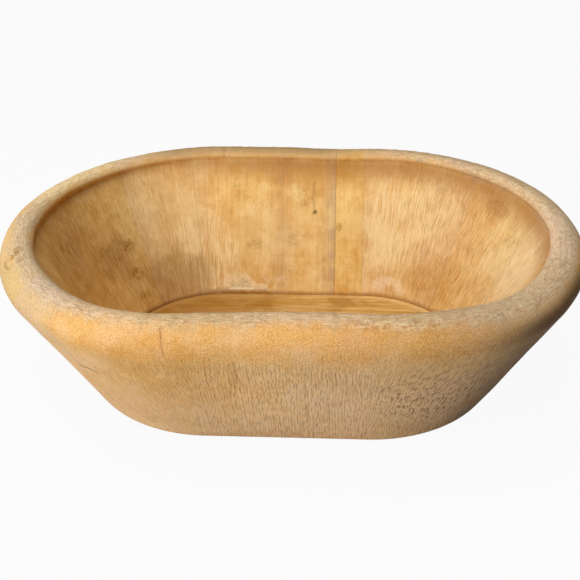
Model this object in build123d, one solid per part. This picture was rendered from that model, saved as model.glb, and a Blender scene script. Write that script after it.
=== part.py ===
"""Staved wooden dough bowl: upright staves glued round an oval plan, and a floor tongued into them.

Frame: origin on the resting plane under the middle of the bowl, +X along its length, +Y to its back, +Z up.
All staves share one wall section. Along the straight sides it runs straight, and round each end it turns
about an upright axis. Millimetres and degrees.
"""
from build123d import *
from math import asin, atan2, hypot, tan
import os

# Plan: length of the straight sides, and radii of the round ends
straight_length = 136.0
rim_radius = 182.0
base_radius = 116.5
foot_thickness = 22.0

# Wall section: outside, crest of the rim, and the short upright land inside it
bowl_height = 150.5
base_round = 8.5
lip_round = 22.5
crest_flat = 0.8
inner_round = 7.0
lip_land = 4.0
land_round = 12.0

# Floor panel, with a tongue that rests on the lower face of a groove in the staves
floor_lift = 5.0
floor_thickness = 12.5
floor_bevel = 2.5
floor_clearance = 0.2
tongue_drop = 4.0
tongue_thickness = 5.5
tongue_length = 7.0
groove_clearance = 0.15

# Staves of each run, clockwise from above: widths along the sides, degrees round the ends.
# None marks the stave that takes what is left of its run.
back_widths = (53.7, None, 28.5)
right_end_angles = (15.0, 15.0, 14.5, 17.5, 18.0, None, 17.0, 17.0, 16.5, 16.5, 16.5)
front_widths = (48.5, None, 35.5)
left_end_angles = (17.0, 17.0, 16.5, 17.5, 17.0, None, 17.0, 17.0, 14.5, 14.5, 15.0)
half_turn = 180.0

# Dowels across the joints between staves
dowel_diameter = 8.0
dowel_length = 20.0
dowel_bevel = 1.0
dowel_clearance = 0.1
dowel_end_gap = 0.5
lower_dowel_height = 44.0
upper_dowel_height = 104.0

# Floor boards, and the dowels across their two joints
middle_board_width = 66.0
floor_dowel_diameter = 5.0
floor_dowel_spacing = 90.0
floor_dowel_count = 3

# The outer wall leans so that it runs smoothly into the round of the lip
half_straight = straight_length / 2
lip_centre_run = rim_radius - lip_round - base_radius
lip_centre_rise = bowl_height - lip_round
lip_turn = asin(lip_round / hypot(lip_centre_run, lip_centre_rise))
outer_slope = tan(atan2(lip_centre_rise, lip_centre_run) - lip_turn)
outer_corner = base_radius + bowl_height / outer_slope

# The inner wall runs from the land of the rim down to the edge of the floor
floor_radius = base_radius - foot_thickness
floor_top = floor_lift + floor_thickness
rim_inner_radius = rim_radius - lip_round - crest_flat - inner_round
land_foot = bowl_height - inner_round - lip_land
inner_slope = (land_foot - floor_top) / (rim_inner_radius - floor_radius)

# The groove follows the tongue
tongue_top = floor_top - tongue_drop
tongue_bottom = tongue_top - tongue_thickness
tongue_radius = floor_radius + tongue_length
groove_top = tongue_top + groove_clearance
groove_radius = tongue_radius + groove_clearance


def wall_section():
    """Wall in the X-Z plane, as corners with their rounds, from the foot up the outside and down the inside."""
    corners = (
        ((floor_radius, 0), 0),
        ((base_radius, 0), base_round),
        ((outer_corner, bowl_height), lip_round),
        ((rim_inner_radius, bowl_height), inner_round),
        ((rim_inner_radius, land_foot), land_round),
        ((floor_radius, floor_top), 0),
        ((floor_radius, groove_top), 0),
        ((groove_radius, groove_top), 0),
        ((groove_radius, tongue_bottom), 0),
        ((floor_radius, tongue_bottom), 0),
    )
    points = [point for point, rounding in corners]
    rounds = [rounding for point, rounding in corners]
    outline = FilletPolyline(*points, radius=rounds, close=True)
    return Plane.XZ * make_face(outline)


def middle_of_wall(height):
    """Place halfway through the wall, in a joint's own frame."""
    outer = base_radius + height / outer_slope
    inner = floor_radius + (height - floor_top) / inner_slope
    return Pos((outer + inner) / 2, 0, height)


def dowel(diameter):
    """Bevelled pin along Y, halfway through the joint at the origin."""
    pin = Cylinder(diameter / 2, dowel_length)
    return Rot(90, 0, 0) * chamfer(pin.edges(), dowel_bevel)


def dowel_hole(diameter):
    """The blind holes on both sides of that joint, as one cylinder."""
    hole_length = dowel_length + 2 * dowel_end_gap
    return Rot(90, 0, 0) * Cylinder(diameter / 2 + dowel_clearance, hole_length)


def filled(sizes, total):
    """Sizes of a run of staves, with the open one filled in."""
    rest = total - sum(size for size in sizes if size is not None)
    return [rest if size is None else size for size in sizes]


def side_staves(widths, first_x, step, turn):
    """Start joint, end joint and body of each straight stave, from X first_x on in direction step."""
    x = first_x
    for width in filled(widths, straight_length):
        start = Pos(x, 0, 0) * Rot(0, 0, turn)
        x += step * width
        end = Pos(x, 0, 0) * Rot(0, 0, turn)
        yield start, end, start * extrude(section, width)


def end_staves(angles, centre_x, turn):
    """Start joint, end joint and body of each curved stave, clockwise about the upright axis of its end."""
    for angle in filled(angles, half_turn):
        start = Pos(centre_x, 0, 0) * Rot(0, 0, turn)
        turn -= angle
        end = Pos(centre_x, 0, 0) * Rot(0, 0, turn)
        yield start, end, end * revolve(section, Axis.Z, angle)


def save(shape, name):
    """Writes one piece to its own file."""
    export_step(shape, f"parts/{name}.step")


os.makedirs("parts", exist_ok=True)

# Staves: a joint's frame has X pointing out of the bowl and Y back along the run
section = wall_section()
dowel_places = [middle_of_wall(height) for height in (lower_dowel_height, upper_dowel_height)]
runs = {
    "back_stave": side_staves(back_widths, -half_straight, 1, 90),
    "right_end_stave": end_staves(right_end_angles, half_straight, 90),
    "front_stave": side_staves(front_widths, half_straight, -1, -90),
    "left_end_stave": end_staves(left_end_angles, -half_straight, -90),
}
stave_dowels = []
for run_name, staves in runs.items():
    for number, (start, end, stave) in enumerate(staves, start=1):
        for place in dowel_places:
            stave -= start * place * dowel_hole(dowel_diameter)
            stave -= end * place * dowel_hole(dowel_diameter)
            stave_dowels.append(start * place * dowel(dowel_diameter))
        save(stave, f"{run_name}_{number}")
save(Compound(children=stave_dowels), "stave_dowels")

# Floor: a panel with a bevelled top edge and the tongue all round it
panel_radius = floor_radius - floor_clearance
panel = Pos(0, 0, floor_lift) * extrude(SlotCenterToCenter(straight_length, 2 * panel_radius), floor_thickness)
panel = chamfer(panel.faces().sort_by(Axis.Z)[-1].edges(), floor_bevel)
tongue = extrude(SlotCenterToCenter(straight_length, 2 * tongue_radius), tongue_thickness)
panel += Pos(0, 0, tongue_bottom) * tongue

# The panel is three boards, with dowels across their joints
board_joint = middle_board_width / 2
floor_dowels = []
for joint_y in (-board_joint, board_joint):
    for place in GridLocations(floor_dowel_spacing, 0, floor_dowel_count, 1):
        pin_place = Pos(0, joint_y, floor_lift + floor_thickness / 2) * place
        panel -= pin_place * dowel_hole(floor_dowel_diameter)
        floor_dowels.append(pin_place * dowel(floor_dowel_diameter))
front_joint = Plane((0, -board_joint, 0), z_dir=(0, -1, 0))
back_joint = Plane((0, board_joint, 0), z_dir=(0, 1, 0))
middle_board = split(split(panel, front_joint, Keep.BOTTOM), back_joint, Keep.BOTTOM)
save(split(panel, front_joint, Keep.TOP), "floor_board_front")
save(middle_board, "floor_board_middle")
save(split(panel, back_joint, Keep.TOP), "floor_board_back")
save(Compound(children=floor_dowels), "floor_dowels")
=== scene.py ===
import math

import bpy
import numpy as np
from mathutils import Matrix, Vector


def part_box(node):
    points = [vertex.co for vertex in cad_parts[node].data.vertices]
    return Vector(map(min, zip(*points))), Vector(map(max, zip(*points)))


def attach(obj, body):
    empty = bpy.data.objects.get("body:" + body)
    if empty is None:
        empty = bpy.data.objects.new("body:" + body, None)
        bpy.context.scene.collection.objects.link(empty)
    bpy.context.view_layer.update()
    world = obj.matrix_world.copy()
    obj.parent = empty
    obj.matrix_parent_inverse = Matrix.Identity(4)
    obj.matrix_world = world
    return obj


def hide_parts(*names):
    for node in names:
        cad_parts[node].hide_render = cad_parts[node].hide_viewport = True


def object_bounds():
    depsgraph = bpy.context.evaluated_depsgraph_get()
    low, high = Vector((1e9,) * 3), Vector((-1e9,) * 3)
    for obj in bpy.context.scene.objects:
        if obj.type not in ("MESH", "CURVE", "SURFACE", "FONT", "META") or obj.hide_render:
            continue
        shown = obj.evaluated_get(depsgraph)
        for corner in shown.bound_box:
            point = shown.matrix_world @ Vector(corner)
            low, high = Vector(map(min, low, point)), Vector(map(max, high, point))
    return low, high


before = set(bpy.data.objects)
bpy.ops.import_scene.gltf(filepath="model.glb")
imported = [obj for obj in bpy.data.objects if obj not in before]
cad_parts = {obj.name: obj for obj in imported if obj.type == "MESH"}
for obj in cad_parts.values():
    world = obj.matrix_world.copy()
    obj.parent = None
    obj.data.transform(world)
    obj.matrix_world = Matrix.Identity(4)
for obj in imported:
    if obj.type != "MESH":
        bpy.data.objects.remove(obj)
cad_low, cad_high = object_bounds()


# Wall section of the staves. Every stave is a board with upright grain, bevelled on its edges and glued
# to the next. The ring was then worked to one section, with a fat round lip and a groove for the floor.
MM = 0.001
half_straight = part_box("back_stave_3")[1].x
rim_radius = cad_high.y
bowl_height = cad_high.z
base_radius = 116.5 * MM
floor_radius = 94.5 * MM
base_round = 8.5 * MM
lip_round = 22.5 * MM
inner_round = 7.0 * MM
crest_flat = 0.8 * MM
lip_land = 4.0 * MM
land_round = 12.0 * MM
floor_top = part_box("floor_board_middle")[1].z
groove_top = floor_top - 3.85 * MM
groove_bottom = floor_top - 9.5 * MM
groove_radius = floor_radius + 7.15 * MM
section_step = 2.0 * MM
lip_centre = np.array((rim_radius - lip_round, bowl_height - lip_round))
rim_inner_radius = lip_centre[0] - crest_flat - inner_round
land_foot = bowl_height - inner_round - lip_land
to_lip = lip_centre - (base_radius, 0)
wall_angle = math.atan2(to_lip[1], to_lip[0]) - math.asin(lip_round / math.hypot(*to_lip))
wall_corners = (
    (floor_radius, 0, 0),
    (base_radius, 0, base_round),
    (base_radius + bowl_height / math.tan(wall_angle), bowl_height, lip_round),
    (rim_inner_radius, bowl_height, inner_round),
    (rim_inner_radius, land_foot, land_round),
    (floor_radius, floor_top, 0),
    (floor_radius, groove_top, 0),
    (groove_radius, groove_top, 0),
    (groove_radius, groove_bottom, 0),
    (floor_radius, groove_bottom, 0),
)


def rounded_outline(corners, step):
    """Points about a step apart along a closed outline of (x, y, round) corners, with arcs at rounds."""
    bends = []
    for index, (x, y, rounding) in enumerate(corners):
        corner = np.array((x, y))
        before = np.array(corners[index - 1][:2]) - corner
        after = np.array(corners[(index + 1) % len(corners)][:2]) - corner
        before /= np.linalg.norm(before)
        after /= np.linalg.norm(after)
        if rounding == 0:
            bends.append([corner])
            continue
        half = math.acos(before @ after) / 2
        inward = (before + after) / np.linalg.norm(before + after)
        centre = corner + inward * rounding / math.sin(half)
        first = corner + before * rounding / math.tan(half) - centre
        last = corner + after * rounding / math.tan(half) - centre
        turn = math.pi - 2 * half
        parts = max(5, math.ceil(turn * rounding / step))
        turned = np.linspace(0, turn, parts + 1)[:, None]
        arc = centre + (np.sin(turn - turned) * first + np.sin(turned) * last) / math.sin(turn)
        bends.append(list(arc))
    points = []
    for index, bend in enumerate(bends):
        start = bends[index - 1][-1]
        parts = max(1, round(np.linalg.norm(bend[0] - start) / step))
        points += [start + (bend[0] - start) * part / parts for part in range(1, parts)]
        points += bend
    return np.array(points)


section = rounded_outline(wall_corners, section_step)
section_ahead = np.roll(section, -1, axis=0) - section
section_along = np.roll(section, -1, axis=0) - np.roll(section, 1, axis=0)
section_along /= np.linalg.norm(section_along, axis=1)[:, None]
section_normal = np.stack((section_along[:, 1], -section_along[:, 0]), axis=1)
walked = np.cumsum(np.linalg.norm(section_ahead, axis=1))
from_crest = np.roll(walked, 1)
from_crest[0] = 0
from_crest -= from_crest[np.argmax(section[:, 1])]


# Hand finish of the ring. The glued staves were rounded over by hand, so the faces roll a little, the
# rim sinks at its front corners, and a hollow runs under its inner edge. Use has chipped and dented
# the crest. A dent is a place, a width and a depth, and so is a sunk stretch of the rim.
hollow_top = 10.5 * MM
hollow_deepest = 14.5 * MM
hollow_foot = 36 * MM
hollow_depth = 2.2 * MM
crest_width = 15 * MM
crest_shift = 4 * MM
foot_blend = (2 * MM, 14 * MM)
floor_blend = (floor_top + 1 * MM, floor_top + 14 * MM)
dents = (
    ((-0.2230, -0.0826, 0.1437), 4.5 * MM, 1.1 * MM),
    ((-0.2190, -0.0790, 0.1475), 3.5 * MM, 0.6 * MM),
    ((-0.2235, -0.0645, 0.1487), 3.0 * MM, 0.5 * MM),
    ((0.0900, -0.1705, 0.1470), 4.0 * MM, 0.5 * MM),
    ((0.1910, -0.1230, 0.1450), 3.0 * MM, 0.5 * MM),
)
sunk_from = 60 * MM
sunk_width = 48 * MM
sunk_places = (
    ((-0.155, -0.140), 90 * MM, 8.0 * MM),
    ((0.185, -0.117), 68 * MM, 7.0 * MM),
    ((0.052, 0.168), 45 * MM, 2.0 * MM),
)


def ripples(seed, length, height, count=18):
    """A smooth uneven field: waves of about one length in seeded directions, added up."""
    chance = np.random.default_rng(seed)
    directions = chance.normal(size=(count, 3))
    directions /= np.linalg.norm(directions, axis=1)[:, None]
    directions *= 2 * math.pi / length / chance.uniform(0.7, 1.4, (count, 1))
    phases = chance.uniform(0, 2 * math.pi, count)
    even_height = height * math.sqrt(2 / count)
    return lambda points: even_height * np.sin(points @ directions.T + phases).sum(axis=-1)


def smooth_step(low, high, values):
    """0 up to low, 1 from high on, and smooth between them."""
    share = np.clip((values - low) / (high - low), 0, 1)
    return share * share * (3 - 2 * share)


hand_roll = ripples(11, 130 * MM, 0.3 * MM)
hand_facets = ripples(12, 30 * MM, 0.08 * MM)
hand_chips = ripples(13, 8 * MM, 0.1 * MM)


def worn_relief(points, crest_distance):
    """How far the worn surface stands out of the true section at each point."""
    height = points[..., 2]
    outside = smooth_step(*foot_blend, height) * (crest_distance <= 0)
    inside = smooth_step(*floor_blend, height) * (crest_distance > 0)
    on_crest = np.exp(-(((crest_distance + crest_shift) / crest_width) ** 2))
    hollow = smooth_step(hollow_top, hollow_deepest, crest_distance)
    hollow *= hollow_depth * (1 - smooth_step(hollow_deepest, hollow_foot, crest_distance))
    relief = hand_roll(points) + hand_facets(points) + on_crest * hand_chips(points)
    for place, width, depth in dents:
        relief -= depth * np.exp(-((points - place) ** 2).sum(axis=-1) / width**2)
    return (outside + inside) * relief - hollow


def sunk_rim(points, crest_distance):
    """How far the crest and the wall inside it have sunk at each point."""
    drop = np.zeros(crest_distance.shape)
    for place, width, depth in sunk_places:
        drop += depth * np.exp(-((points[..., :2] - place) ** 2).sum(axis=-1) / width**2)
    drop *= smooth_step(-sunk_width, -crest_width, crest_distance)
    return drop * smooth_step(sunk_from, bowl_height, points[..., 2])


# Staves as meshes. Each is swept along the ring between its two joints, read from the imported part. Most
# joints were sanded until they hardly show. A few took up glue and dirt: their line and the stain beside
# it go from 0 to 1. A stave's tone is its lightness, evenly 1, and its yellow, evenly 0.
column_step = 2.2 * MM
ease_width = 0.5 * MM
joint_step = 0.04 * MM
open_joint_step = 0.3 * MM
stave_proud = 0.08 * MM
base_blend = (1 * MM, 6 * MM)
stave_sharp_angle = math.radians(38)
board_lean = math.radians(26.6)
board_middle = (125 * MM, 75 * MM)
grain_scatter = 400
light_spread = (0.97, 1.02)
yellow_spread = (-0.012, 0.012)
plain_joint = (0.1, 0.05)
joint_looks = {
    ("back_stave_1", "high"): (0.12, 0.4),
    ("back_stave_2", "low"): (0.12, 0.3),
    ("back_stave_2", "high"): (0.32, 1.0),
    ("back_stave_3", "low"): (0.32, 0.0),
    ("back_stave_3", "high"): (0.14, 0.1),
    ("right_end_stave_1", "high"): (0.14, 0.1),
    ("right_end_stave_3", "low"): (0.15, 0.15),
    ("right_end_stave_4", "high"): (0.15, 0.15),
    ("right_end_stave_5", "low"): (0.15, 0.2),
    ("right_end_stave_6", "high"): (0.15, 0.0),
    ("left_end_stave_11", "high"): (0.15, 0.3),
    ("left_end_stave_10", "low"): (0.15, 0.3),
    ("left_end_stave_9", "high"): (0.15, 0.4),
    ("left_end_stave_8", "low"): (0.15, 0.2),
}
# The back staves and left end staves 6 to 11 are made lighter partly as painted light, lifting their
# shaded inner faces.
stave_tones_and_painted_light = {
    "back_stave_1": (1.06, 0.02),
    "back_stave_2": (1.05, 0.02),
    "back_stave_3": (1.07, 0.045),
    "right_end_stave_1": (1.03, -0.015),
    "right_end_stave_6": (1.05, -0.02),
    "right_end_stave_7": (1.05, -0.02),
    "left_end_stave_4": (1.0, 0.05),
    "left_end_stave_5": (1.02, 0.05),
    "left_end_stave_6": (1.05, 0.04),
    "left_end_stave_7": (1.08, 0.04),
    "left_end_stave_8": (1.08, 0.04),
    "left_end_stave_9": (1.1, 0.0),
    "left_end_stave_10": (1.12, 0.0),
    "left_end_stave_11": (1.12, 0.0),
}


def stave_joints(node):
    """X of the end's upright axis and the two joints, as X along a side or as an angle round an end."""
    corners = np.array([vertex.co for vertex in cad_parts[node].data.vertices])
    if node.startswith(("back", "front")):
        return None, corners[:, 0].min(), corners[:, 0].max()
    axis_x = half_straight if node.startswith("right") else -half_straight
    turns = np.arctan2(corners[:, 1], corners[:, 0] - axis_x)
    if node.startswith("left"):
        turns = np.mod(turns, 2 * math.pi)
    return axis_x, turns.min(), turns.max()


def sealed_mesh(name, grid, flipped):
    """A closed mesh of the rings of points in a grid, with a face over its first and last ring."""
    columns, rows = grid.shape[:2]
    here = np.arange(columns * rows).reshape(columns, rows)
    above = np.roll(here, -1, axis=1)
    faces = np.stack((here[:-1], above[:-1], above[1:], here[1:]), axis=2).reshape(-1, 4).tolist()
    faces += [here[0, ::-1].tolist(), here[-1].tolist()]
    if flipped:
        faces = [face[::-1] for face in faces]
    mesh = bpy.data.meshes.new(name)
    mesh.from_pydata(grid.reshape(-1, 3).tolist(), [], faces)
    mesh.shade_smooth()
    mesh.set_sharp_from_angle(angle=stave_sharp_angle)
    return mesh


def add_facts(mesh, facts):
    """Keeps numbers or vectors of each vertex with the mesh, for its material."""
    for name, values in facts.items():
        vectors = values.ndim == 2
        fact = mesh.attributes.new(name, "FLOAT_VECTOR" if vectors else "FLOAT", "POINT")
        fact.data.foreach_set("vector" if vectors else "value", values.astype(np.float32).ravel())


def make_stave(node, chance):
    """The worn stave in the place of a node, with what its wood needs to know at each vertex."""
    axis_x, low, high = stave_joints(node)
    reach = 1 if axis_x is None else rim_radius
    length = (high - low) * reach
    inner_columns = np.linspace(ease_width, length - ease_width, max(6, round(length / column_step)))
    run = np.concatenate(((0,), inner_columns, (length,))) / reach
    if axis_x is None:
        middle_turn = math.pi / 2 if node.startswith("back") else -math.pi / 2
        turns = np.full(len(run), middle_turn)
        starts = low + run
        widths = np.ones(len(section))
        middle_x = (low + high) / 2
    else:
        middle_turn = (low + high) / 2
        turns = low + run
        starts = np.full(len(run), axis_x)
        widths = section[:, 0]
        middle_x = axis_x
    size = (len(run), len(section))

    def around(flat):
        """A vector of the section at every place of the run, turned to face out of the bowl there."""
        x = np.outer(np.cos(turns), flat[:, 0])
        y = np.outer(np.sin(turns), flat[:, 0])
        return np.stack((x, y, np.broadcast_to(flat[:, 1], size)), axis=2)

    grid = around(section)
    grid[..., 0] += starts[:, None]
    crest_distance = np.broadcast_to(from_crest, size)
    low_line, low_stain = joint_looks.get((node, "low"), plain_joint)
    high_line, high_stain = joint_looks.get((node, "high"), plain_joint)
    relief = worn_relief(grid, crest_distance) + chance.uniform(-stave_proud, stave_proud)
    relief[0] -= joint_step + open_joint_step * low_line
    relief[-1] -= joint_step + open_joint_step * high_line
    seen = smooth_step(*base_blend, grid[..., 2])
    grid = grid + around(section_normal) * (relief * seen)[..., None]
    grid[..., 2] -= sunk_rim(grid, crest_distance)
    mesh = sealed_mesh("worn_" + node, grid, not node.startswith("back"))

    out = np.array((math.cos(middle_turn), math.sin(middle_turn), 0))
    across = np.array((-math.sin(middle_turn), math.cos(middle_turn), 0))
    up = np.array((0, 0, 1))
    lengthwise = math.sin(board_lean) * out + math.cos(board_lean) * up
    deep = math.cos(board_lean) * out - math.sin(board_lean) * up
    board = grid - (np.array((middle_x, 0, board_middle[1])) + out * board_middle[0])
    grain = np.stack((board @ across, board @ lengthwise, board @ deep), axis=-1) / MM
    grain += chance.uniform(-grain_scatter, grain_scatter, 3)
    own_tone = (chance.uniform(*light_spread), chance.uniform(*yellow_spread))
    lightness, yellow = stave_tones_and_painted_light.get(node, own_tone)
    every = np.ones(crest_distance.size)
    add_facts(mesh, {
        "grain": grain.reshape(-1, 3),
        "crest": crest_distance.ravel() / MM,
        "low_gap": np.outer(run, widths).ravel() / MM,
        "high_gap": np.outer(run[-1] - run, widths).ravel() / MM,
        "low_line": low_line * every,
        "high_line": high_line * every,
        "low_stain": low_stain * every,
        "high_stain": high_stain * every,
        "lightness": lightness * every,
        "yellow": yellow * every,
    })
    stave = bpy.data.objects.new("worn_" + node, mesh)
    bpy.context.scene.collection.objects.link(stave)
    return stave


# Wood of the staves: a pale open-pored hardwood. Handling turned the outside golden under the lip, it is
# drab lower down, and the crest, cut across the fibres, is dry and grey. The inside was oiled by use and
# is blotched, with pale streaks where it was scraped.
class Value:
    """A value that varies over a surface. Arithmetic on it adds Math nodes to its finish."""

    def __init__(self, finish, socket):
        self.finish = finish
        self.socket = socket

    def math(self, operation, *values):
        return self.finish.node("ShaderNodeMath", {"operation": operation}, dict(enumerate(values)))

    def __add__(self, other):
        return self.math("ADD", self, other)

    def __radd__(self, other):
        return self.math("ADD", other, self)

    def __sub__(self, other):
        return self.math("SUBTRACT", self, other)

    def __rsub__(self, other):
        return self.math("SUBTRACT", other, self)

    def __mul__(self, other):
        return self.math("MULTIPLY", self, other)

    def __rmul__(self, other):
        return self.math("MULTIPLY", other, self)

    def __abs__(self):
        return self.math("ABSOLUTE", self)

    def sine(self):
        return self.math("SINE", self)


class Finish:
    """A material or a world, and the nodes that make it."""

    def __init__(self, owner):
        owner.use_nodes = True
        self.owner = owner
        self.tree = owner.node_tree
        self.surface = self.tree.nodes.get("Principled BSDF")

    def node(self, kind, settings, sockets, output=0):
        """One output of a new node, with its settings made first and then its sockets filled or linked."""
        made = self.tree.nodes.new(kind)
        for key, setting in settings.items():
            setattr(made, key, setting)
        for key, value in sockets.items():
            self.feed(made.inputs[key], value)
        return Value(self, made.outputs[output])

    def feed(self, socket, value):
        if isinstance(value, Value):
            self.tree.links.new(value.socket, socket)
        else:
            socket.default_value = value

    def fact(self, name, output="Fac"):
        """What the mesh keeps under a name at each vertex."""
        return self.node("ShaderNodeAttribute", {"attribute_name": name}, {}, output)

    def place(self):
        """Where each point stands on the bowl, in millimetres."""
        return self.vector("DIVIDE", self.node("ShaderNodeTexCoord", {}, {}, "Object"), (MM, MM, MM))

    def along(self, vector, axis):
        """One of the three numbers of a vector."""
        return self.node("ShaderNodeSeparateXYZ", {}, {0: vector}, axis)

    def vector(self, operation, *values, output=0):
        return self.node("ShaderNodeVectorMath", {"operation": operation}, dict(enumerate(values)), output)

    def noise(self, place, sizes, detail=3.0, roughness=0.55, warp=0.0, output="Fac"):
        """Uneven value from 0 to 1, with lumps of these sizes along the three directions of place."""
        sockets = {
            "Vector": self.vector("DIVIDE", place, sizes),
            "Scale": 1.0,
            "Detail": detail,
            "Roughness": roughness,
            "Distortion": warp,
        }
        return self.node("ShaderNodeTexNoise", {}, sockets, output)

    def rise(self, value, low, high):
        """0 up to low, 1 from high on, and smooth between them."""
        sockets = {"Value": value, "From Min": low, "From Max": high}
        return self.node("ShaderNodeMapRange", {"interpolation_type": "SMOOTHSTEP"}, sockets)

    def near(self, place, point, sizes):
        """1 at a point of place, falling to 0 at these distances from it."""
        gap = self.vector("DIVIDE", self.vector("SUBTRACT", place, point), sizes)
        return 1 - self.rise(self.vector("LENGTH", gap, output="Value"), 0.35, 1.0)

    def beside(self, place, first, last, width):
        """1 on the straight line between two points of place, falling to 0 at a width from it."""
        run = Vector(last) - Vector(first)
        offset = self.vector("SUBTRACT", place, first)
        share = self.vector("DOT_PRODUCT", offset, run / run.length_squared, output="Value")
        share = self.node("ShaderNodeClamp", {}, {0: share})
        nearest = self.node("ShaderNodeVectorMath", {"operation": "SCALE"}, {0: run, "Scale": share})
        return 1 - self.rise(self.vector("DISTANCE", offset, nearest, output="Value"), 0.0, width)

    def stain(self, colour, share, over, way="MIX"):
        """Colour with another one over it, by a share from 0 to 1."""
        settings = {"data_type": "RGBA", "blend_type": way, "clamp_factor": True}
        return self.node("ShaderNodeMix", settings, {0: share, 6: colour, 7: over}, 2)

    def cover(self, colour, roughness, relief, strength, depth):
        """Gives the surface its colour, its roughness and a relief too fine for the mesh."""
        sockets = {"Height": relief, "Strength": strength, "Distance": depth}
        self.feed(self.surface.inputs["Base Color"], colour)
        self.feed(self.surface.inputs["Roughness"], roughness)
        self.feed(self.surface.inputs["Normal"], self.node("ShaderNodeBump", {}, sockets))


def shade(red, green, blue):
    """A colour as it looks on a screen, from 0 to 255, made linear."""
    levels = [level / 255 for level in (red, green, blue)]
    return (*[((level + 0.055) / 1.055) ** 2.4 for level in levels], 1.0)


honey = shade(230, 184, 110)
cream = shade(248, 220, 162)
amber = shade(218, 158, 80)
ochre = shade(200, 140, 62)
gold = shade(216, 165, 96)
drab = shade(243, 200, 140)
mauve = shade(227, 188, 147)
ash = shade(220, 190, 157)
bark = shade(158, 108, 56)
umber = shade(152, 112, 74)
pore_brown = shade(122, 82, 42)
dry_grey = shade(190, 162, 117)
pale_flake = shade(240, 216, 174)
bone = shade(216, 190, 155)
cool_grey = shade(190, 168, 150)
straw = shade(244, 208, 146)
rim_shade_gold = shade(156, 127, 86)
dun = shade(200, 176, 134)
rust = shade(176, 118, 74)
seam_dirt = shade(92, 60, 36)
glue_grey = shade(192, 158, 124)
sheen_white = shade(254, 238, 204)
soot = shade(84, 54, 28)
shadow_brown = shade(100, 68, 42)
olive_brown = shade(150, 104, 32)


def on_back_wall(x, z):
    """Place on the inner face of the back, in millimetres."""
    lean = (rim_inner_radius - floor_radius) / (land_foot - floor_top)
    return (x, floor_radius / MM + (z - floor_top / MM) * lean, z)


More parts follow.
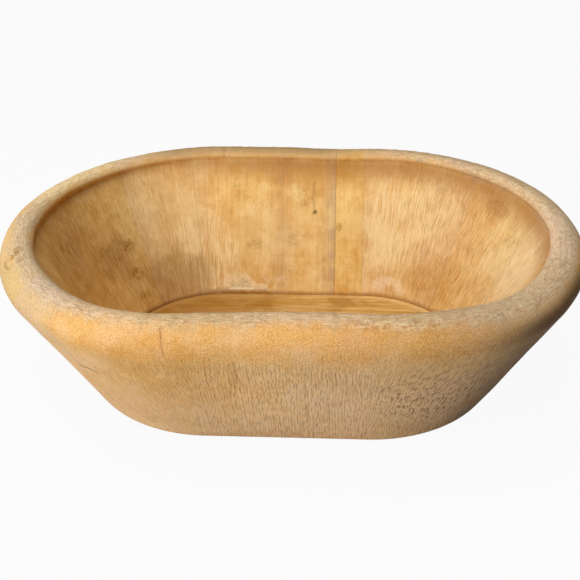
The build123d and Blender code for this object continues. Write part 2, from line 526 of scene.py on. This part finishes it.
def stave_finish():
    wood = Finish(bpy.data.materials.new("stave_wood"))
    # Places on the bowl, and the grain of each board, which sways and leans over at the front right.
    place = wood.place()
    sideways = wood.along(place, 0)
    leftward = 0 - sideways
    backward = wood.along(place, 1)
    height = wood.along(place, 2)
    crest = wood.fact("crest")
    drift = wood.noise(place, (24, 24, 24), 3, 0.6, output="Color")
    drift = wood.vector("SUBTRACT", drift, (0.5, 0.5, 0.5))
    blurred = wood.vector("MULTIPLY_ADD", drift, (60, 60, 60), place)
    lean = wood.rise(sideways, 58.0, 125.0) * (1 - wood.rise(backward, -165.0, -85.0))
    sway = (wood.noise(place, (60, 60, 60), 2) - 0.5) * 8
    sway = sway + (wood.noise(place, (14, 14, 14), 2) - 0.5) * (1.2 + lean * 2.5)
    sway = sway + lean * (118 - height) * 0.36
    swayed = wood.node("ShaderNodeCombineXYZ", {}, {0: sway})
    grain = wood.vector("ADD", wood.fact("grain", "Vector"), swayed)

    # Unevenness, from broad blotches down to single fibres.
    blotches = wood.noise(place, (40, 40, 36), 4, 0.6)
    mottle = wood.noise(place, (19, 19, 17), 4, 0.62)
    spots = wood.noise(place, (8, 8, 10), 3, 0.62)
    ragged = wood.noise(place, (2.6, 2.6, 2.2), 2, 0.6)
    flecks = wood.noise(place, (0.8, 0.8, 1.0), 0) * 0.75 + ragged * 0.25
    bands = wood.noise(grain, (14, 240, 14), 3)
    streaks = wood.noise(grain, (3.4, 70, 3.4), 3, 0.6)
    scrapes = wood.noise(grain, (1.7, 28, 1.7), 2)
    across = wood.along(grain, 0)
    ridges = (across * 2.5 + wood.noise(grain, (7, 120, 7), 1, 0.5) * 13).sine()
    fibres = 0.5 + ridges * 0.13 * wood.rise(wood.noise(grain, (1.7, 18, 1.7), 1), 0.34, 0.6)
    fibres = fibres + (wood.noise(grain, (0.5, 10, 0.5), 0) - 0.5) * 0.62
    dashes = wood.noise(grain, (1.7, 6.0, 1.7), 0)

    # Ground colours: the worked outside, and the oiled inside with its scraped places.
    inside = wood.rise(crest, 4.0, 13.0)
    outside = 1 - inside
    under_lip = outside * wood.rise(crest + (blotches - 0.5) * 80 + (mottle - 0.5) * 50, -118.0, -16.0)
    low_down = outside * (1 - wood.rise(height + (blotches - 0.5) * 70, 15.0, 92.0))

    worked = wood.stain(drab, under_lip, gold)
    worked = wood.stain(worked, low_down * (0.25 + wood.rise(mottle, 0.38, 0.62) * 0.55), mauve)
    worked = wood.stain(worked, wood.rise(mottle, 0.46, 0.62) * (0.18 + under_lip * 0.2), amber)
    worked = wood.stain(worked, wood.rise(1 - mottle, 0.48, 0.64) * (0.4 - under_lip * 0.22), ash)
    worked = wood.stain(worked, wood.rise(spots, 0.5, 0.66) * 0.2, amber)
    worked = wood.stain(worked, wood.rise(bands, 0.45, 0.7) * 0.25, honey)

    oiled = wood.stain(honey, wood.rise(bands, 0.42, 0.66) * 0.32, cream)
    oiled = wood.stain(oiled, wood.rise(blotches, 0.45, 0.64) * 0.42, amber)
    oiled = wood.stain(oiled, wood.rise(mottle, 0.48, 0.68) * 0.38, ochre)
    oiled = wood.stain(oiled, wood.rise(1 - mottle, 0.48, 0.66) * 0.36, cream)
    oiled = wood.stain(oiled, wood.rise(spots, 0.52, 0.7) * 0.3, ochre)
    oiled = wood.stain(oiled, wood.rise(streaks, 0.5, 0.66) * 0.17, ochre)
    oiled = wood.stain(oiled, wood.rise(1 - streaks, 0.5, 0.66) * 0.2, cream)
    # Pale scraped places inside, at the back left and right, made paler too as painted light on the inner
    # wall.
    scraped_and_lit = wood.near(blurred, (-96, 106, 50), (48, 62, 56))
    scraped_and_lit = scraped_and_lit + wood.near(blurred, (112, 116, 84), (70, 60, 62)) * 0.8
    oiled = wood.stain(oiled, scraped_and_lit * 0.4, cream)
    oiled = wood.stain(oiled, (0.08 + scraped_and_lit) * wood.rise(scrapes, 0.5, 0.62) * 0.8, cream)
    oiled = wood.stain(oiled, (0.08 + scraped_and_lit) * wood.rise(1 - scrapes, 0.5, 0.64) * 0.4, ochre)
    colour = wood.stain(worked, inside, oiled)

    # Weathered and handled places, and one of painted shade: a point, how far it reaches, its tone and how
    # much of it.
    weathering = (
        ((-100, -176, 122), (64, 50, 28), ochre, 0.5),
        ((-70, -158, 84), (80, 50, 50), amber, 0.35),
        ((-160, -153, 138), (34, 34, 22), amber, 0.1),
        ((-234, -40, 146), (36, 62, 24), bone, 0.6),
        ((-222, -76, 146), (30, 40, 18), umber, 0.2),
        ((-113, -171, 142), (48, 24, 20), mauve, 0.3),
        ((92, -170, 128), (100, 80, 80), ochre, 0.34),
        ((110, -168, 120), (100, 80, 80), umber, 0.16),
        ((66, -162, 80), (90, 72, 76), ash, 0.34),
        ((-118, -145, 62), (100, 76, 70), umber, 0.2),
        ((172, -130, 120), (76, 76, 62), ash, 0.25),
        ((200, -112, 136), (70, 70, 30), dun, 0.5),
        ((-215, -100, 125), (75, 75, 50), ash, 0.35),
        ((-205, -115, 130), (70, 70, 50), dun, 0.62),
        ((-176, -132, 98), (60, 50, 46), mauve, 0.45),
        ((125, -140, 66), (80, 66, 66), mauve, 0.75),
        ((-190, 20, 85), (80, 95, 80), amber, 0.4),
        ((-204, 12, 106), (46, 62, 46), bark, 0.3),
        ((-35, 125, 72), (42, 60, 38), cream, 0.3),
        ((215, 5, 90), (64, 74, 78), cream, 0.85),
        ((178, 90, 124), (40, 46, 28), ochre, 0.55),
        ((212, 26, 126), (26, 44, 24), ochre, 0.32),
        ((150, 96, 96), (84, 72, 66), mauve, 0.2),
        ((-135, 105, 100), (60, 60, 60), cream, 0.35),
        ((142, 82, 46), (50, 45, 28), ochre, 0.55),
        ((-174, 62, 72), (34, 40, 30), bark, 0.4),
        ((190, 80, 124), (22, 26, 14), bark, 0.35),
        ((10, 148, 124), (60, 30, 26), ochre, 0.6),
        (on_back_wall(50, 122), (24, 34, 22), ochre, 0.35),
        (on_back_wall(50, 86), (20, 40, 26), cream, 0.4),
        (on_back_wall(-7, 62), (24, 34, 36), cream, 0.35),
        (on_back_wall(90, 64), (18, 34, 40), cream, 0.5),
        ((-126, 88, 38), (60, 46, 34), olive_brown, 0.48),
        # Painted shade in the corner of the floor at the back left.
        (on_back_wall(-64, 19), (66, 24, 9), olive_brown, 0.5),
        ((98, 96, 25), (26, 20, 14), mauve, 0.25),
    )
    for point, sizes, tone, share in weathering:
        colour = wood.stain(colour, wood.near(blurred, point, sizes) * share, tone)

    # Grain lines, scratches and open pores, and the smoother wood of the rim at the back, which is also
    # painted darker gold as shade.
    smooth_shaded_rim = wood.rise(backward, 30.0, 120.0) * (1 - wood.rise(sideways, 10.0, 110.0))
    smooth_shaded_rim = smooth_shaded_rim * wood.rise(sideways, -176.0, -122.0) * wood.rise(crest, -30.0, -12.0)
    rough = 1 - smooth_shaded_rim * 0.85
    coarse = wood.near(place, (126, -145, 80), (84, 76, 78)) * outside
    # Painted light just below the roll of the lip and painted shade on the roll, softening the shading
    # edge where the roll meets the wall.
    painted_light_below_roll = wood.rise(crest, -80.0, -52.0) * (1 - wood.rise(crest, -46.0, -34.0)) * outside
    painted_light_below_roll = painted_light_below_roll * (0.35 + wood.rise(sideways, -100.0, 10.0) * 0.65)
    colour = wood.stain(colour, painted_light_below_roll * 0.26, straw)
    painted_shade_on_roll = wood.rise(crest, -40.0, -31.0) * (1 - wood.rise(crest, -27.0, -19.0)) * outside
    colour = wood.stain(colour, painted_shade_on_roll * 0.08, umber)
    plain_lip = wood.rise(crest + (mottle - 0.5) * 40, -58.0, -26.0)
    lined = outside * (1 - plain_lip * 0.85) * (1 - coarse * 0.45) * rough
    lined = lined * (0.55 + wood.rise(sideways, -115.0, -10.0) * 0.45)
    dark_lines = wood.rise(fibres, 0.46, 0.68)
    pale_lines = wood.rise(1 - fibres, 0.46, 0.68)
    colour = wood.stain(colour, pale_lines * (lined * 0.44 + inside * 0.12), straw)
    right_inside = inside * wood.rise(sideways, 40.0, 150.0)
    left_inside = inside * wood.rise(leftward, 90.0, 150.0)
    scratches = wood.noise(grain, (1.1, 13.0, 1.1), 1)
    pale_scratches = wood.rise(scratches, 0.56, 0.68) * (left_inside + right_inside)
    colour = wood.stain(colour, pale_scratches * 0.36, cream)
    dark_scratches = wood.rise(1 - scratches, 0.57, 0.68) * (left_inside * 0.3 + right_inside * 0.33)
    colour = wood.stain(colour, dark_scratches, bark)
    furrowed = dark_lines * (lined * 0.46 + inside * 0.1 + right_inside * 0.14)
    colour = wood.stain(colour, furrowed, pore_brown)
    pitted = wood.rise(dashes, 0.57, 0.64) * coarse * (1 - under_lip * 0.8)
    colour = wood.stain(colour, pitted * 0.75, pore_brown)
    colour = wood.stain(colour, wood.rise(1 - dashes, 0.5, 0.6) * coarse * 0.35, straw)
    speckled = outside * rough * (0.22 + under_lip * wood.rise(mottle, 0.3, 0.6) * 0.1) + inside * 0.08
    dotted = wood.rise(flecks, 0.48, 0.66) * speckled
    colour = wood.stain(colour, dotted, pore_brown)
    colour = wood.stain(colour, wood.rise(1 - flecks, 0.5, 0.7) * rough * (0.12 + under_lip * 0.07), straw)
    # Painted shade: the outside of the smooth back rim is darkened to a dull gold.
    colour = wood.stain(colour, outside * smooth_shaded_rim * 0.85, rim_shade_gold)
    # Painted shade: the outside of the right end, turned away from the lamps, is darkened with shadow
    # brown, less at the back.
    from_axis = wood.vector("SUBTRACT", place, (half_straight / MM, 0, 0))
    outward = wood.vector("NORMALIZE", wood.vector("MULTIPLY", from_axis, (1, 1, 0)))
    facing_right = wood.along(outward, 0)
    painted_right_end_shade = wood.rise(facing_right, 0.38, 0.76) * (1 - wood.rise(crest, -30.0, -15.0))
    painted_right_end_shade = painted_right_end_shade * (1 - wood.rise(backward, -70.0, 20.0) * 0.45)
    colour = wood.stain(colour, outside * painted_right_end_shade * 0.8, shadow_brown)

    # Dry end grain of the crest, greyer at the left corner and chipped along its outer edge.
    rim_edge = abs(crest + 1.5) + (mottle - 0.5) * 22 + (spots - 0.5) * 8
    rim_edge = rim_edge - wood.rise(sideways, 80.0, 210.0) * 6
    dry = (1 - wood.rise(rim_edge, 4.0, 15.0)) * (0.92 - smooth_shaded_rim * 0.7)
    weathered = wood.stain(dry_grey, wood.rise(mottle, 0.42, 0.62) * 0.45, mauve)
    weathered = wood.stain(weathered, wood.rise(abs(sideways), 60.0, 220.0) * 0.5, bone)
    left_corner = wood.rise(leftward, 110.0, 215.0) * wood.rise(0 - backward, -60.0, 20.0)
    weathered = wood.stain(weathered, left_corner * 0.75, cool_grey)
    bleached = wood.rise(leftward, 150.0, 205.0) * wood.rise(backward, 0.0, 50.0) * 0.7
    bleached = bleached + wood.rise(sideways, 205.0, 240.0) * 0.4
    weathered = wood.stain(weathered, bleached, pale_flake)
    checks = wood.noise(grain, (7.0, 1.6, 1.6), 2, 0.6)
    weathered = wood.stain(weathered, wood.rise(1 - flecks, 0.48, 0.68) * 0.32, pale_flake)
    weathered = wood.stain(weathered, wood.rise(flecks, 0.5, 0.68) * 0.34, bark)
    weathered = wood.stain(weathered, wood.rise(1 - checks, 0.5, 0.68) * 0.4, pale_flake)
    weathered = wood.stain(weathered, wood.rise(checks, 0.5, 0.68) * 0.38, bark)
    colour = wood.stain(colour, dry, weathered)
    chip_band = 1 - wood.rise(abs(crest + 10 + (mottle - 0.5) * 14), 1.5, 6.0)
    knocked = wood.near(blurred, (86, -168, 148), (50, 30, 20))
    chip_band = chip_band * (0.25 + knocked * 0.75) * (1 - smooth_shaded_rim)
    chips = chip_band * wood.rise(ragged, 0.54, 0.66)
    colour = wood.stain(colour, chip_band * wood.rise(1 - ragged, 0.48, 0.66) * 0.36, pale_flake)
    colour = wood.stain(colour, chips * 0.5, rust)

    # Joints, with the glue that soaked into the wood beside them.
    low_gap = wood.fact("low_gap")
    high_gap = wood.fact("high_gap")
    line = wood.fact("low_line") * (1 - wood.rise(low_gap, 0.1, 0.8))
    line = line + wood.fact("high_line") * (1 - wood.rise(high_gap, 0.1, 0.8))
    unbroken = wood.rise(spots + wood.fact("low_line") + wood.fact("high_line"), 0.45, 0.9)
    line = line * unbroken * (0.4 + inside * 0.6)
    fray = (spots - 0.5) * 16 + (scrapes - 0.5) * 20
    glue = wood.fact("low_stain") * (1 - wood.rise(low_gap + fray, -4.0, 20.0))
    glue = glue + wood.fact("high_stain") * (1 - wood.rise(high_gap + fray, -4.0, 20.0))
    colour = wood.stain(colour, glue * inside * (0.4 + wood.rise(mottle, 0.35, 0.6) * 0.45), glue_grey)
    colour = wood.stain(colour, line, seam_dirt)

    # Painted shade under the rim and in the corner round the floor, and the rubbed foot.
    # Painted shade: a brown band under the inner edge of the rim, where its hollow is shaded.
    painted_under_rim_shade = wood.rise(crest, 10.5, 19.0) * (1 - wood.rise(crest + (spots - 0.5) * 14, 18.0, 42.0))
    painted_under_rim_shade = painted_under_rim_shade * (0.7 - wood.rise(leftward, 60.0, 165.0) * 0.38)
    colour = wood.stain(colour, painted_under_rim_shade, bark)
    # Painted shade: the foot of the inner wall is darkened with bark brown in the corner where it meets
    # the floor.
    painted_foot_shade = inside * (1 - wood.rise(height + (spots - 0.5) * 5, 17.2, 21.0))
    colour = wood.stain(colour, painted_foot_shade * 0.5, bark)
    foot_rub = outside * (1 - wood.rise(height + (spots - 0.5) * 10, 1.0, 9.0))
    colour = wood.stain(colour, foot_rub * 0.2, amber)

    # Marks of use: a painted highlight of waxed sheen, smudges, a pin knot and cracks. A smudge is a
    # point, how far it reaches and how dark it is. A crack is its width, how dark it is, and the points
    # that it runs through.
    # Painted highlight: the shine of the waxed foot of the back wall is painted near white; the lower
    # roughness there is the wax itself.
    sheen_breakup = wood.rise(ragged, 0.35, 0.7)
    painted_wax_sheen = wood.near(blurred, on_back_wall(-46, 22), (44, 26, 14)) * (0.35 + sheen_breakup * 0.45)
    painted_wax_sheen = painted_wax_sheen + wood.beside(place, on_back_wall(-68, 20.5), on_back_wall(-46, 20.8), 2.6) * 0.7
    sheen_thinning = wood.rise(ragged + spots, 0.7, 1.3)
    painted_wax_sheen = painted_wax_sheen + wood.near(blurred, (95, 98, 27), (32, 26, 14)) * (0.15 + sheen_thinning * 0.4)
    painted_wax_sheen = painted_wax_sheen * wood.rise(height, 18.5, 21.5)
    colour = wood.stain(colour, painted_wax_sheen * 0.75, sheen_white)
    frayed = wood.rise(spots * 0.6 + ragged * 0.6 + flecks * 0.1, 0.55, 0.8)
    smudges = (
        (on_back_wall(-1, 69), (18, 25, 9), 0.32),
        (on_back_wall(43, 80), (4, 25, 7), 0.8),
        (on_back_wall(-6, 42), (6, 25, 8), 0.4),
        (on_back_wall(-62, 118), (7, 25, 9), 0.35),
        (on_back_wall(8, 106), (14, 25, 16), 0.28),
        (on_back_wall(-42, 62), (12, 25, 8), 0.3),
        ((-168, 73, 80), (15, 16, 9), 0.7),
        ((-182, 53, 84), (10, 13, 7), 0.6),
        ((-172, 59, 71), (10, 12, 7), 0.6),
        ((-156, 67, 52), (12, 12, 9), 0.6),
        ((-150, 61, 33), (10, 10, 6), 0.6),
        ((-207, 9, 113), (7, 11, 8), 0.5),
        ((-188, 4, 72), (8, 12, 7), 0.5),
        ((189, 81, 126), (10, 11, 7), 0.5),
        ((169, 75, 83), (8, 9, 8), 0.4),
        ((199, 41, 108), (10, 13, 9), 0.4),
        ((145, 121, 122), (8, 8, 6), 0.4),
        ((-220.7, -62.3, 147.6), (7, 8, 5), 0.6),
        ((-220.5, -71.5, 146.0), (7, 8, 4), 0.6),
        ((-213.6, -77.4, 146.6), (5, 7, 4), 0.6),
    )
    for point, sizes, strength in smudges:
        colour = wood.stain(colour, wood.near(place, point, sizes) * frayed * strength, olive_brown)
    pin_knot = wood.near(place, on_back_wall(18.5, 93), (3.4, 6, 3.0)) * wood.rise(ragged, 0.25, 0.55)
    colour = wood.stain(colour, pin_knot * 0.8, soot)
    cracks = (
        (2.6, 0.2, on_back_wall(18.2, 96), on_back_wall(16.0, 106), on_back_wall(17.5, 120)),
        (1.6, 0.6, (-84.2, -171.1, 143.0), (-83.3, -174.4, 140.7), (-82.9, -177.0, 138.2)),
        (
            1.6, 0.55,
            (-82.9, -177.0, 138.2), (-82.5, -179.1, 135.3), (-81.6, -180.8, 131.8), (-80.7, -181.5, 127.7),
        ),
        (
            1.1, 0.5,
            (-32.1, -181.3, 122.5), (-31.6, -176.4, 111.8), (-31.5, -171.9, 103.4), (-31.8, -166.7, 93.8),
        ),
        (1.9, 0.8, (-160.0, -132.0, 82.5), (-150.5, -138.9, 84.2), (-143.5, -141.9, 82.7)),
        (1.0, 0.5, (-153.3, -139.2, 142.2), (-149.5, -143.0, 141.9), (-145.5, -146.7, 141.7)),
        (
            0.9, 0.7,
            (-75.8, 159.8, 150.4), (-75.2, 154.5, 149.2), (-75.2, 151.9, 145.7), (-74.3, 151.0, 141.0),
        ),
        (1.0, 0.5, (193.5, -111.5, 142.1), (192.6, -116.6, 140.6), (192.0, -121.0, 139.0)),
        (2.6, 0.4, (-227.8, -73.8, 140.7), (-226.9, -77.9, 139.3), (-222.8, -82.8, 140.6)),
        (1.3, 0.4, (-204.2, 20.5, 109.6), (-197, 21.2, 94.7)),
    )
    strokes = [
        wood.beside(place, first, last, width) * strength
        for width, strength, *points in cracks
        for first, last in zip(points, points[1:])
    ]
    cracked = strokes[0]
    for stroke in strokes[1:]:
        cracked = cracked.math("MAXIMUM", cracked, stroke)
    colour = wood.stain(colour, cracked, soot)

    # Tone of each stave, and the fine relief of its grain, pores, chips and cracks.
    lightness = wood.fact("lightness")
    blue = lightness * (1.04 - wood.fact("yellow") * 3)
    tint = wood.node("ShaderNodeCombineColor", {}, {0: lightness, 1: lightness, 2: blue})
    colour = wood.stain(colour, 1.0, tint, "MULTIPLY")

    relief = streaks * 0.2 - furrowed * 0.9 - dotted * 0.6 - pitted * 0.6 - chips * 0.8
    relief = relief + flecks * dry * 0.6 - line * 0.4 - cracked * 0.8
    roughness = 0.62 + dry * 0.15 - inside * 0.1 - painted_wax_sheen * 0.25
    wood.cover(colour, roughness, relief, strength=0.45, depth=0.5 * MM)
    wood.surface.inputs["Specular IOR Level"].default_value = 0.03
    return wood.owner


stave_wood = stave_finish()
chance = np.random.default_rng(5)
for node in sorted(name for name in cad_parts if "_stave_" in name):
    stave = make_stave(node, chance)
    stave.data.materials.append(stave_wood)
    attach(stave, "root")
    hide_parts(node)


# Floor: three flat boards laid lengthwise and doweled edge to edge. Their top edge is bevelled where it
# meets the staves, and a tongue all round sits in the groove of the wall.
panel_radius = floor_radius - 0.2 * MM
tongue_radius = floor_radius + 7.0 * MM
tongue_top = floor_top - 4.0 * MM
tongue_bottom = floor_top - 9.5 * MM
floor_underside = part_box("floor_board_middle")[0].z
board_steps = 96
board_rows = 22
board_ease = 0.25 * MM
board_sharp_angle = math.radians(50)
board_scatter = 300
board_cup = ripples(21, 70 * MM, 0.16 * MM)
floor_levels = (
    (panel_radius - 3.6 * MM, floor_top),
    (panel_radius - 2.7 * MM, floor_top - 0.15 * MM),
    (panel_radius - 0.5 * MM, floor_top - 2.2 * MM),
    (panel_radius, floor_top - 3.0 * MM),
    (panel_radius, tongue_top),
    (tongue_radius, tongue_top),
    (tongue_radius, tongue_bottom),
    (panel_radius, tongue_bottom),
    (panel_radius, floor_underside),
)


def make_floor_board(node, chance):
    """Flat grids at the top and underside of a board, joined by the rings of its edge."""
    low_y, high_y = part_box(node)[0].y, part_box(node)[1].y
    along = np.linspace(-1, 1, board_steps + 1)
    grids = []
    for number, (radius, z) in enumerate(floor_levels):
        ease = board_ease if number == 0 else 0
        first = max(low_y + ease * (low_y > -radius), -radius)
        last = min(high_y - ease * (high_y < radius), radius)
        turns = np.linspace(math.asin(first / radius), math.asin(last / radius), board_rows + 1)
        x = np.outer(half_straight + radius * np.cos(turns), along)
        y = np.broadcast_to(radius * np.sin(turns)[:, None], x.shape)
        grids.append(np.stack((x, y, np.full(x.shape, z)), axis=2))
    grids[0][..., 2] += board_cup(grids[0])
    here = np.arange(grids[0][..., 0].size).reshape(grids[0].shape[:2])
    rim = np.concatenate((here[0, :-1], here[:-1, -1], here[-1, :0:-1], here[:0:-1, 0]))
    rings = [grid.reshape(-1, 3)[rim] for grid in grids[1:-1]]
    points = np.concatenate([grids[0].reshape(-1, 3), *rings, grids[-1].reshape(-1, 3)])
    last_grid = here.size + len(rim) * len(rings)
    ring_numbers = [rim]
    ring_numbers += [here.size + len(rim) * number + np.arange(len(rim)) for number in range(len(rings))]
    ring_numbers += [rim + last_grid]
    top = np.stack((here[:-1, :-1], here[:-1, 1:], here[1:, 1:], here[1:, :-1]), axis=2).reshape(-1, 4)
    faces = top.tolist() + (top[:, ::-1] + last_grid).tolist()
    for upper, lower in zip(ring_numbers, ring_numbers[1:]):
        around = np.stack((upper, lower, np.roll(lower, -1), np.roll(upper, -1)), axis=1)
        faces += around.tolist()
    mesh = bpy.data.meshes.new("worn_" + node)
    mesh.from_pydata(points.tolist(), [], faces)
    mesh.shade_smooth()
    mesh.set_sharp_from_angle(angle=board_sharp_angle)
    past_straight = np.maximum(np.abs(points[:, 0]) - half_straight, 0)
    add_facts(mesh, {
        "grain": points[:, [1, 0, 2]] / MM + chance.uniform(-board_scatter, board_scatter, 3),
        "edge": (panel_radius - np.hypot(past_straight, points[:, 1])) / MM,
    })
    board = bpy.data.objects.new("worn_" + node, mesh)
    bpy.context.scene.collection.objects.link(board)
    return board


floor_amber = shade(202, 154, 80)
floor_gold = shade(224, 181, 116)
floor_brown = shade(148, 94, 4)


def floor_finish():
    wood = Finish(bpy.data.materials.new("floor_wood"))
    place = wood.place()
    grain = wood.fact("grain", "Vector")
    sideways = wood.along(place, 0)
    height = wood.along(place, 2)
    bands = wood.noise(grain, (9, 150, 9), 3, 0.55, 0.8)
    streaks = wood.noise(grain, (2.2, 45, 2.2), 4, 0.6)
    dashes = wood.noise(grain, (1.1, 12, 1.1), 2)
    blotches = wood.noise(place, (34, 26, 30), 4, 0.6)
    colour = wood.stain(floor_amber, wood.rise(bands, 0.4, 0.65), floor_gold)
    colour = wood.stain(colour, wood.rise(streaks, 0.5, 0.68) * 0.5, floor_brown)
    colour = wood.stain(colour, wood.rise(blotches, 0.48, 0.66) * 0.45, floor_brown)
    dark_dashes = wood.rise(dashes, 0.58, 0.72) * 0.4
    colour = wood.stain(colour, dark_dashes, bark)
    # Painted shade: the left of the floor, in the shadow of the left wall, is darkened with floor brown.
    colour = wood.stain(colour, (1 - wood.rise(sideways + blotches * 60, -70.0, 60.0)) * 0.65, floor_brown)
    # The pale band along the bevelled edge of the boards is rubbed wear and partly painted light, stronger
    # to the right.
    rubbed_and_lit_edge = 1 - wood.rise(wood.fact("edge") + (blotches - 0.5) * 4, 7.0, 11.0)
    colour = wood.stain(colour, rubbed_and_lit_edge * (0.08 + wood.rise(sideways, -20.0, 90.0) * 0.35), straw)
    # Painted shade on the lower edge of the boards, where they go into the groove under the staves.
    gap = 1 - wood.rise(height, (floor_top - 3.2 * MM) / MM, (floor_top - 2.0 * MM) / MM)
    colour = wood.stain(colour, gap * 0.8, soot)
    relief = streaks * 0.3 - dark_dashes * 0.7
    wood.cover(colour, 0.5 + streaks * 0.15, relief, strength=0.4, depth=0.5 * MM)
    wood.surface.inputs["Specular IOR Level"].default_value = 0.05
    return wood.owner


floor_wood = floor_finish()
for node in ("floor_board_front", "floor_board_middle", "floor_board_back"):
    board = make_floor_board(node, chance)
    board.data.materials.append(floor_wood)
    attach(board, "root")
    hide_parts(node)


# Dowels: turned pins of plain hardwood, glued into blind holes across the joints of the staves and of the
# floor boards. Nothing of them shows on the finished bowl, so they stay as they were packed.
dowel_pale = shade(222, 190, 140)
dowel_dark = shade(176, 136, 86)


def dowel_finish():
    wood = Finish(bpy.data.materials.new("dowel_wood"))
    place = wood.place()
    rings = wood.noise(place, (2.5, 2.5, 1.2), 3, 0.6)
    colour = wood.stain(dowel_pale, wood.rise(rings, 0.4, 0.7), dowel_dark)
    wood.cover(colour, 0.6 + rings * 0.15, rings, strength=0.3, depth=0.2 * MM)
    return wood.owner


dowel_wood = dowel_finish()
for node in ("stave_dowels", "floor_dowels"):
    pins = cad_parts[node]
    pins.data.materials.clear()
    pins.data.materials.append(dowel_wood)


# Stage: a plain white table top under a white surround. Only the camera sees them white: the table
# sends little light back onto the bowl and keeps a faint shadow of it.
table_half = 4.0
table_gap = 0.3 * MM
table_grey = (0.45, 0.45, 0.45, 1)
pure_white = (1, 1, 1, 1)
white_share = 0.94
table_ways = ((-1, -1), (1, -1), (1, 1), (-1, 1))
table_corners = [(x * table_half, y * table_half, -table_gap) for x, y in table_ways]
table_top = bpy.data.objects.new("table_top", bpy.data.meshes.new("table_top"))
table_top.data.from_pydata(table_corners, [], [(0, 1, 2, 3)])
bpy.context.scene.collection.objects.link(table_top)


def looked_at(finish, share):
    """A share of what the camera sees, and all of what it sees mirrored or through glass."""
    seen = finish.node("ShaderNodeLightPath", {}, {}, "Is Camera Ray") * share
    seen = seen + finish.node("ShaderNodeLightPath", {}, {}, "Is Glossy Ray")
    return seen + finish.node("ShaderNodeLightPath", {}, {}, "Is Transmission Ray")


white = Finish(bpy.data.materials.new("table_white"))
white.surface.inputs["Base Color"].default_value = table_grey
white.surface.inputs["Roughness"].default_value = 0.9
paper = Value(white, white.surface.outputs[0])
glow = white.node("ShaderNodeEmission", {}, {"Color": pure_white, "Strength": 1.0}, "Emission")
sockets = {0: looked_at(white, white_share), 1: paper, 2: glow}
table_surface = white.tree.nodes["Material Output"].inputs["Surface"]
white.feed(table_surface, white.node("ShaderNodeMixShader", {}, sockets))
table_top.data.materials.append(white.owner)


# Light: a broad round lamp overhead on the left, a tall one to the left of the camera, and next to no
# light from anywhere else, so that the right end falls into shade.
stray_light = 0.04
lamp_aim = Vector((0, 0, 0.08))
surround = Finish(bpy.data.worlds.new("studio"))
bpy.context.scene.world = surround.owner
backdrop = surround.tree.nodes["Background"]
backdrop.inputs["Color"].default_value = pure_white
brightness = stray_light + looked_at(surround, white_share) * (1 - stray_light)
surround.feed(backdrop.inputs["Strength"], brightness)


def soft_lamp(name, shape, position, width, height, power):
    """A broad lamp at a position, turned towards the bowl."""
    lamp = bpy.data.lights.new(name, "AREA")
    lamp.shape = shape
    lamp.size = width
    lamp.size_y = height
    lamp.energy = power
    holder = bpy.data.objects.new(name, lamp)
    holder.location = position
    holder.rotation_euler = (lamp_aim - Vector(position)).to_track_quat("-Z", "Y").to_euler()
    bpy.context.scene.collection.objects.link(holder)


soft_lamp("overhead", "ELLIPSE", (-0.28, -0.25, 1.98), width=1.3, height=1.3, power=25.5)
soft_lamp("tall", "RECTANGLE", (-1.12, -1.47, 0.74), width=0.8, height=1.4, power=32.5)


# Camera: it looks down on the bowl from the front, turned and rolled a little, at the distance that
# puts the bowl where it stands in the picture.
sensor_width = 36
lens_length = 54.68
camera_pitch = 0.52959
camera_turn = 0.05327
camera_roll = -0.01024
camera_distance = 0.79917
aim = Vector((-0.00105, 0, 0.07655))
back_off = Vector((0, -math.cos(camera_pitch), math.sin(camera_pitch))) * camera_distance
camera = bpy.data.objects.new("camera", bpy.data.cameras.new("camera"))
camera.data.sensor_width = sensor_width
camera.data.lens = lens_length
camera.matrix_world = (
    Matrix.Rotation(camera_turn, 4, "Z")
    @ Matrix.Translation(aim + back_off)
    @ Matrix.Rotation(math.pi / 2 - camera_pitch, 4, "X")
    @ Matrix.Rotation(camera_roll, 4, "Z")
)
bpy.context.scene.collection.objects.link(camera)
bpy.context.scene.camera = camera
bpy.context.scene.view_settings.view_transform = "Standard"
